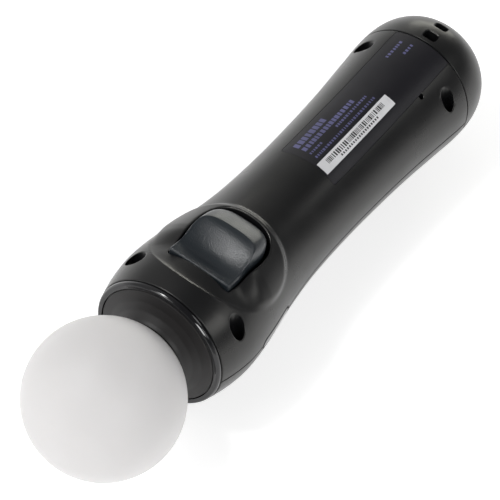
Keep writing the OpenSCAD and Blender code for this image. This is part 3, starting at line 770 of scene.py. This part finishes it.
def cushion(name, outline, levels, top, edge, put):
    """A button: rows of (offset, height) from its inner end, then a rounded top."""
    rings = []
    for d, h in levels:
        o = offset(outline, d)
        rings.append(put(o[:, 0], o[:, 1], np.full(len(o), float(h))))
    for a in np.linspace(0, math.pi / 2, 6):
        o = offset(outline, -edge * (1 - math.cos(a)))
        rings.append(put(o[:, 0], o[:, 1], top(o[:, 0], o[:, 1]) - edge * (1 - math.sin(a))))
    rim, centre = offset(outline, -edge), outline.mean(0)
    for size in (0.94, 0.85, 0.72, 0.56, 0.38, 0.2, 0.04):
        p = centre + (rim - centre) * size
        rings.append(put(p[:, 0], p[:, 1], top(p[:, 0], p[:, 1])))
    return loft(name, rings)


def deck_top(proud):
    return lambda x, y: front_z(x, y) + proud


BUTTON_FOOT = 13.1                       # the thumb side's buttons start on their membrane


def make_buttons():
    outline = resampled(stadium(*MOVE), 0.8)
    levels = [(-3.8, BUTTON_FOOT), (-3.8, 15.9), (1, 15.9), (1, 16.9), (0, 16.9)]
    place(cushion("move_button_cap", outline, levels, deck_top(0.16), 0.5, down), "move_button",
          "gloss_black", ["move_button"])
    levels = [(0, BUTTON_FOOT), (0.5, BUTTON_FOOT), (0.5, 13.9), (0, 13.9)]
    for letter, (x, y) in zip("abcd", ACTION):
        node = "action_button_" + letter
        cap = cushion(node + "_cap", circle(x, y, ACTION_R), levels, deck_top(0.18), 0.45, down)
        place(cap, node, "button", [node])
    levels = [(0, BUTTON_FOOT), (0, 14.6), (0.5, 14.6), (0.5, 15.4), (0, 15.4)]
    place(cushion("home_button_cap", circle(*HOME), levels, deck_top(0.1), 0.4, down),
          "home_button", "gloss_black", ["home_button"])
    x, z, half_l, r = SIDE_BUTTON
    outline = resampled(stadium(x, z, half_l, r), 0.8)
    levels = [(-1, 15.6), (-1, 16.2), (0.8, 16.2), (0.8, 17.2), (0, 17.2)]
    for name, put in (("start_button", to_right), ("select_button", to_left)):
        cap = cushion(name + "_cap", outline, levels, lambda u, v: across_z(u, v) + 0.06, 0.25,
                      put)
        place(cap, name, "gloss_black", [name])


# ---- label and sticker ----

def patches(name, boxes, low, high):
    """Printed marks: thin curved patches (x0, x1, y0, y1) on the skin, in one mesh."""
    points, faces = [], []
    for x0, x1, y0, y1 in boxes:
        start = len(points)
        ys = np.linspace(y0, y1, 4)
        for x in (x0, x1):
            for h in (low, high):
                points += [(x, y, float(skin_z(x, y)) + h) for y in ys]
        n = len(ys)
        a, b, c, d = (start + k * n for k in range(4))
        for k in range(n - 1):
            faces += [(a + k, a + k + 1, c + k + 1, c + k), (b + k, d + k, d + k + 1, b + k + 1)]
            faces += [(a + k, b + k, b + k + 1, a + k + 1), (c + k, c + k + 1, d + k + 1, d + k)]
        faces += [(a, c, d, b), (a + n - 1, b + n - 1, d + n - 1, c + n - 1)]
    return new_mesh(name, points, faces)


def dashes(rng, x0, x1, y, height, low, high):
    """One printed row of plain dashes from x0 towards the tail."""
    out, at = [], x0
    while at > x1:
        length = rng.uniform(low, high)
        out.append((at - length, at, y - height / 2, y + height / 2))
        at -= length + rng.uniform(0.35, 0.6)
    return out


LABEL_GAP = 0.12
STICKER = (-54.1, -17.8, 2.1, 6.2)
BAR_MARGIN = 3.4
# The label's printed rows: ends, place across, height, and the shortest and longest dash
PRINT = ((-20, -33.5, -6.5, 1.9, 1.2, 1.7), (-20, -46, -3.9, 1.5, 0.8, 1.4),
         (-20, -26, -1.6, 0.7, 0.4, 0.8), (-34, -50, -1.8, 0.8, 0.4, 0.8),
         (-20, -51, 0.4, 0.8, 0.4, 0.8), (-67, -75, -5.6, 0.9, 0.5, 1.0),
         (-71, -75, -2.2, 0.9, 0.5, 1.0))


def make_label():
    x0, x1, y0, y1 = LABEL
    panel = box_outline(x0 + LABEL_GAP, x1 - LABEL_GAP, y0 + LABEL_GAP, y1 - LABEL_GAP)
    panel = resampled(rounded(panel, 0.9), 1.2)
    place(sheet_on_skin("rear_label_panel", panel, -0.28, -0.04), "handle", "label",
          ["rear_label"])
    rng = np.random.default_rng(7)
    rows = [dash for row in PRINT for dash in dashes(rng, *row)]
    place(patches("label_marks", rows, -0.04, -0.025), "handle", "ink")
    x0, x1, y0, y1 = STICKER
    outline = resampled(rounded(box_outline(*STICKER), 0.25), 1.0)
    place(sheet_on_skin("barcode_sticker_sheet", outline, -0.04, 0.07), "handle", "silver_foil",
          ["barcode_sticker"])
    bars, at = [], x1 - BAR_MARGIN
    while at > x0 + BAR_MARGIN:
        wide = rng.choice([0.22, 0.22, 0.4, 0.6])
        bars.append((at - wide, at, y0 + 0.75, y0 + 2.35))
        at -= wide + rng.choice([0.25, 0.3, 0.5])
    bars += [(x, x + 0.55, y0 + 2.75, y0 + 3.4) for x in np.arange(-46, -27, 1.05)]
    place(patches("barcode_bars", bars, 0.06, 0.078), "handle", "bars")


# ---- the CAD's own pieces ----

BEVELS = {"case_screws": 0.12, "usb_port": 0.08, "ext_connector": 0.1, "charge_contacts": 0.15,
          "main_board": 0.05, "board_chips": 0.1, "radio_shield": 0.1, "board_connectors": 0.15,
          "vibration_motor": 0.2, "motor_weight": 0.1, "battery_tray": 0.1}


def finish_cad_nodes():
    slots = {part["node"]: part["material_slot"] for part in frame["record"]["subparts"]}
    for node, obj in frame["nodes"].items():
        obj.data.materials.clear()
        obj.data.materials.append(MATERIALS[slots[node]])
        if node in BEVELS:
            bevel = obj.modifiers.new("bevel", "BEVEL")
            bevel.width, bevel.segments, bevel.limit_method = BEVELS[node] * MM, 2, "ANGLE"
            bevel.angle_limit = math.radians(40)


# ---- the stage ----

FLOOR_GREY, FLOOR_GLOW = 0.82, 0.57      # paper, and how far it is lit to white


def make_floor():
    bpy.ops.mesh.primitive_plane_add(size=6)
    floor = bpy.context.object
    floor.name = "floor"
    mat = bpy.data.materials.new("floor_paper")
    mat.use_nodes = True
    shader = mat.node_tree.nodes["Principled BSDF"]
    shader.inputs["Base Color"].default_value = (FLOOR_GREY, FLOOR_GREY, FLOOR_GREY, 1)
    shader.inputs["Roughness"].default_value = 0.9
    shader.inputs["Emission Color"].default_value = (1, 1, 1, 1)
    shader.inputs["Emission Strength"].default_value = FLOOR_GLOW
    floor.data.materials.append(mat)


def make_world():
    """Grey studio, bright near the floor and dim above, with more light on the -Y side."""
    world = bpy.data.worlds.new("studio")
    bpy.context.scene.world = world
    world.use_nodes = True
    nodes, link = world.node_tree.nodes, world.node_tree.links.new
    where = nodes.new("ShaderNodeTexCoord").outputs["Generated"]
    split = nodes.new("ShaderNodeSeparateXYZ")
    link(where, split.inputs[0])
    ramp = ranged(world.node_tree, split.outputs["Z"], 0.0, 0.3, 0.72, 0.14)
    ramp.interpolation_type = "SMOOTHSTEP"
    side = ranged(world.node_tree, split.outputs["Y"], -0.8, 0.1, 0.42, 0.0)
    total = nodes.new("ShaderNodeMath")
    link(ramp.outputs["Result"], total.inputs[0])
    link(side.outputs["Result"], total.inputs[1])
    link(total.outputs[0], nodes["Background"].inputs["Strength"])
    nodes["Background"].inputs["Color"].default_value = (1, 1, 1, 1)


LIT = Vector((0.02, 0, 0.02))            # what the lights point at


def soft_light(name, at, size, power, colour=(1, 1, 1)):
    light = bpy.data.lights.new(name, "AREA")
    light.shape, light.size, light.size_y = "RECTANGLE", size[0], size[1]
    light.energy, light.color = power, colour
    obj = bpy.data.objects.new(name, light)
    bpy.context.scene.collection.objects.link(obj)
    obj.location = at
    towards = LIT - obj.location
    obj.rotation_euler = towards.to_track_quat("-Z", "Y").to_euler()


def make_lights():
    soft_light("key_left", (0.80, -0.50, 0.80), (0.6, 0.6), 3.6)
    soft_light("key_right", (0.60, 0.80, 0.70), (0.35, 0.35), 4.3)
    soft_light("front_top", (0.40, -0.42, 0.88), (0.18, 0.18), 3.2)
    soft_light("side_box", (-0.20, 0.95, 0.66), (0.35, 0.35), 1.6)
    soft_light("back_box", (-0.64, 0.56, 0.80), (0.28, 0.28), 0.5)
    soft_light("tail_box", (-1.28, -0.42, 0.28), (0.80, 0.20), 2.9, (1.0, 0.99, 0.90))


CAMERA_AT = (0.43479, 0.17978, 0.56294)  # metres
CAMERA_TURN = (39.574, -10.015, 124.711)  # degrees


def make_camera():
    data = bpy.data.cameras.new("camera")
    data.lens, data.sensor_width = 180, 36
    cam = bpy.data.objects.new("camera", data)
    bpy.context.scene.collection.objects.link(cam)
    cam.location = CAMERA_AT
    cam.rotation_euler = [math.radians(a) for a in CAMERA_TURN]
    data.clip_start, data.clip_end = 0.01, 10
    bpy.context.scene.camera = cam


def build():
    make_materials()
    finish_cad_nodes()
    make_rear_cover()
    make_front_cover()
    make_tail_cap()
    make_neck()
    make_sphere()
    make_trigger()
    make_buttons()
    make_label()
    make_floor()
    make_world()
    make_lights()
    make_camera()
    bpy.context.scene.view_settings.view_transform = "Standard"


build()
